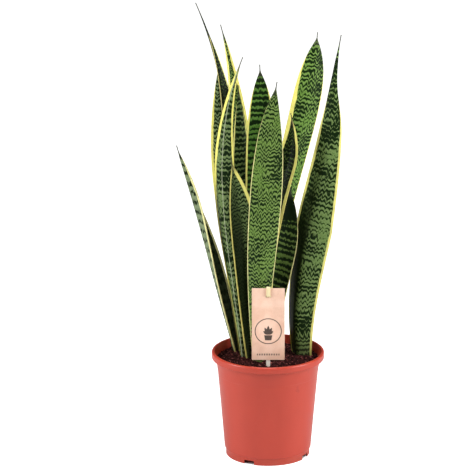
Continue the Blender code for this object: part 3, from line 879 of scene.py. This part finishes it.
SPREAD = SOIL_RADIUS / CLUMP_RADIUS


def spine_point(leaf, t):
    """The midrib's place at t, from 0 at the soil to 1 at the tip."""
    places = (leaf.foot, leaf.lower, leaf.upper, leaf.tip)
    heights = [SOIL_TOP + leaf.rise * i / 3 for i in range(4)]
    points = [Vector((x * SPREAD + AXIS_X, y * SPREAD, z)) for (x, y), z in zip(places, heights)]
    point = through(points, (0.0, 1 / 3, 2 / 3, 1.0), t)
    curled = max(t - CURL_START, 0.0) / (1.0 - CURL_START)
    return point + Vector((*leaf.curl, 0.0)) * SPREAD * curled**2


def half_width(leaf, t):
    """Half the blade's width, measured over its fold, down to a fine point."""
    if t < leaf.widest:
        rest = 1.0 - max(t, 0.0) / leaf.widest
        share = leaf.foot_width + (1.0 - leaf.foot_width) * (1.0 - rest**2)
    else:
        blade_end = 1.0 - AWL_LENGTH / leaf.rise
        share = 1.0 - min((t - leaf.widest) / (blade_end - leaf.widest), 1.0) ** leaf.point
    share *= 1.0 - leaf.pinch * ease((t - PINCH_START) / PINCH_RUN)
    awl = AWL_RADIUS * (1.0 - AWL_TAPER * max(t, 0.0))
    return math.hypot(0.5 * leaf.width * SPREAD * share, awl)


def blade_point(leaf, t, across):
    """A point of the blade's middle surface; across runs from -1 to 1 over the midrib."""
    step = 0.001
    rise = (spine_point(leaf, t + step) - spine_point(leaf, t - step)).normalized()
    turn = math.radians(through(leaf.facing, (0.0, 0.5, 1.0), t))
    inward = Vector((math.sin(turn), -math.cos(turn), 0.0))
    inward = (inward - rise * inward.dot(rise)).normalized()
    side = rise.cross(inward)
    fold = math.radians(leaf.fold[1] + (leaf.fold[0] - leaf.fold[1]) * (1.0 - ease(t / OPENED)))
    reach = half_width(leaf, t)
    lift = math.hypot(across, KEEL_ROUND) - KEEL_ROUND
    outwards = side * reach * math.cos(fold) * across
    raised = reach * math.sin(fold) * lift + ripple(leaf, t, across)
    return spine_point(leaf, t) + outwards + inward * raised


def ripple(leaf, t, across):
    """A slow wave of the wings, strongest at the margins, that dies out at the foot and the tip."""
    seed = 10.0 * len(leaf.name) + 50.0 * leaf.rise
    wave = noise.noise(Vector((seed, t * leaf.rise * RIPPLE_RATE, 1.5 * across)))
    return wave * RIPPLE_HEIGHT * across**2 * ease(t / 0.15) * ease((1.0 - t) / 0.1)


def blade_thickness(t, across):
    """Thick along the midrib, thinner to the tip and thinnest at the margins."""
    if t < 0.5:
        middle = FOOT_THICKNESS + (MIDDLE_THICKNESS - FOOT_THICKNESS) * max(t, 0.0) / 0.5
    else:
        middle = MIDDLE_THICKNESS + (TIP_THICKNESS - MIDDLE_THICKNESS) * (t - 0.5) / 0.5
    round_edge = 0.5 + 0.5 * math.sqrt(max(1.0 - across**2, 0.0))
    body = (1.0 - MARGIN_THINNESS) * round_edge * (1.0 - 0.3 * across**2)
    return middle * (MARGIN_THINNESS + body)


def make_leaf(leaf, look, seed):
    """A grid bent to the leaf's law, thickened, with its own measures kept as attributes."""
    bm = bmesh.new()
    bmesh.ops.create_grid(bm, x_segments=LEAF_ACROSS, y_segments=LEAF_ALONG, size=1.0)
    names = ("across", "along", "edge", "tip")
    layers = [bm.verts.layers.float.new(name) for name in names]
    start = -LEAF_DEPTH / leaf.rise
    weights = []
    for vert in bm.verts:
        across = math.sin(0.5 * math.pi * vert.co.x)
        t = start + (1.0 - start) * 0.5 * (vert.co.y + 1.0)
        reach = half_width(leaf, t)
        weights.append(blade_thickness(t, across) / FOOT_THICKNESS)
        vert.co = blade_point(leaf, t, across)
        to_edge = (1.0 - abs(across)) * reach
        measures = (across * reach, t * leaf.rise, to_edge, (1.0 - t) * leaf.rise)
        for layer, measure in zip(layers, measures):
            vert[layer] = measure
    finish = leaf_finish(leaf, look, seed)
    piece = new_piece(leaf.name + "_blade", bm, finish, "leaf", leaf.name)
    group = piece.vertex_groups.new(name="thickness")
    for index, weight in enumerate(weights):
        group.add([index], weight, "REPLACE")
    solid = piece.modifiers.new("thickness", "SOLIDIFY")
    solid.thickness = FOOT_THICKNESS
    solid.offset = 0.0
    solid.use_even_offset = True
    solid.vertex_group = group.name


# ---------------------------------------------------------------------------------------------
# Card and stake
# ---------------------------------------------------------------------------------------------


def make_card():
    bm = bmesh.new()
    height = CARD_HIGH.z - CARD_LOW.z
    centre = (0.0, CARD_Y, 0.5 * (CARD_HIGH.z + CARD_LOW.z))
    box_at(bm, centre, (CARD_WIDTH, CARD_THICKNESS, height))
    deep = 0.5 * CARD_THICKNESS
    corners = [e for e in bm.edges if abs(e.verts[0].co.y - e.verts[1].co.y) > deep]
    bmesh.ops.bevel(
        bm, geom=corners, offset=CARD_CORNER, segments=6, profile=0.5, affect="EDGES", material=-1,
    )
    finish = card_finish()
    card = new_piece("printed_card", bm, finish, "kraft_board", "care_card")
    bm = bmesh.new()
    slot = (STAKE_WIDTH + 4 * GAP, 4 * CARD_THICKNESS, STAKE_THICKNESS + 4 * GAP)
    box_at(bm, (0.0, CARD_Y, CARD_HIGH.z - SLOT_BELOW_TOP), slot)
    cut(card, new_piece("slot_cutter", bm, finish))
    soften = card.modifiers.new("soft edges", "BEVEL")
    soften.width = CARD_SOFT_EDGE
    soften.segments = 2
    soften.limit_method = "ANGLE"


def make_stake():
    reach = 0.5 * CARD_THICKNESS + GAP + 0.5 * STAKE_THICKNESS
    over = CARD_HIGH.z + GAP
    slot_z = CARD_HIGH.z - SLOT_BELOW_TOP
    path = [(CARD_Y + reach, STAKE_LOW.z), (CARD_Y + reach, SOIL_TOP)]
    path += arc((CARD_Y, over), reach, 0, 180, 16)
    path += arc((CARD_Y, slot_z + reach), reach, 180, 270, 8)
    bm = bmesh.new()
    left = [bm.verts.new((AXIS_X - 0.5 * STAKE_WIDTH, y, z)) for y, z in path]
    edges = [bm.edges.new(pair) for pair in zip(left, left[1:])]
    made = bmesh.ops.extrude_edge_only(bm, edges=edges)["geom"]
    right = [item for item in made if isinstance(item, bmesh.types.BMVert)]
    bmesh.ops.translate(bm, vec=(STAKE_WIDTH, 0.0, 0.0), verts=right)
    stake = new_piece("cream_stake", bm, stake_finish(), "cream_plastic", "card_stake")
    solid = stake.modifiers.new("thickness", "SOLIDIFY")
    solid.thickness = STAKE_THICKNESS
    solid.offset = 0.0
    solid.use_even_offset = True
    soften = stake.modifiers.new("soft edges", "BEVEL")
    soften.width = STAKE_SOFT_EDGE
    soften.segments = 3
    soften.limit_method = "ANGLE"


# ---------------------------------------------------------------------------------------------
# Studio
# ---------------------------------------------------------------------------------------------


def area_light(name, place, aim, size, power):
    light = bpy.data.lights.new(name, "AREA")
    light.shape = "RECTANGLE"
    light.size, light.size_y = size
    light.energy = power
    lamp = bpy.data.objects.new(name, light)
    lamp.location = place
    lamp.rotation_euler = (Vector(aim) - Vector(place)).to_track_quat("-Z", "Y").to_euler()
    bpy.context.scene.collection.objects.link(lamp)


def make_studio():
    bm = bmesh.new()
    bmesh.ops.create_grid(bm, x_segments=1, y_segments=1, size=FLOOR_REACH)
    floor = new_piece("floor", bm, floor_finish())

    world = bpy.data.worlds.new("studio")
    bpy.context.scene.world = world
    world.use_nodes = True
    backdrop = world.node_tree.nodes["Background"]
    backdrop.inputs["Color"].default_value = (1.0, 1.0, 1.0, 1.0)
    tree = world.node_tree
    path = tree.nodes.new("ShaderNodeLightPath")
    strength = tree.nodes.new("ShaderNodeMapRange")
    strength.inputs["To Min"].default_value = BACKDROP_UNSEEN
    tree.links.new(path.outputs["Is Camera Ray"], strength.inputs["Value"])
    tree.links.new(strength.outputs[0], backdrop.inputs["Strength"])

    middle = (AXIS_X - 0.01, 0.0, 0.36)
    for name, place, size, power in LIGHTS:
        area_light(name, place, middle, size, power)

    view = bpy.context.scene.view_settings
    view.view_transform = "Standard"
    view.look = "None"
    view.exposure = 0.0


def make_camera():
    """A long lens from straight in front and a little above."""
    lens = 300.0
    sensor = 36.0
    view_width = 0.7003
    elevation = math.radians(16.7)
    target = Vector((AXIS_X - 0.0495, 0.0, 0.343))
    distance = view_width * lens / sensor
    data = bpy.data.cameras.new("camera")
    data.lens = lens
    data.sensor_width = sensor
    data.clip_end = 100.0
    camera = bpy.data.objects.new("camera", data)
    away = Vector((0.0, -math.cos(elevation), math.sin(elevation)))
    camera.location = target + away * distance
    camera.rotation_euler = (-away).to_track_quat("-Z", "Y").to_euler()
    bpy.context.scene.collection.objects.link(camera)
    bpy.context.scene.camera = camera


make_pot()
make_soil()
for index, leaf in enumerate(LEAVES):
    make_leaf(leaf, LOOKS[leaf.name], 31.0 * index + 4.0)
make_card()
make_stake()
make_studio()
make_camera()
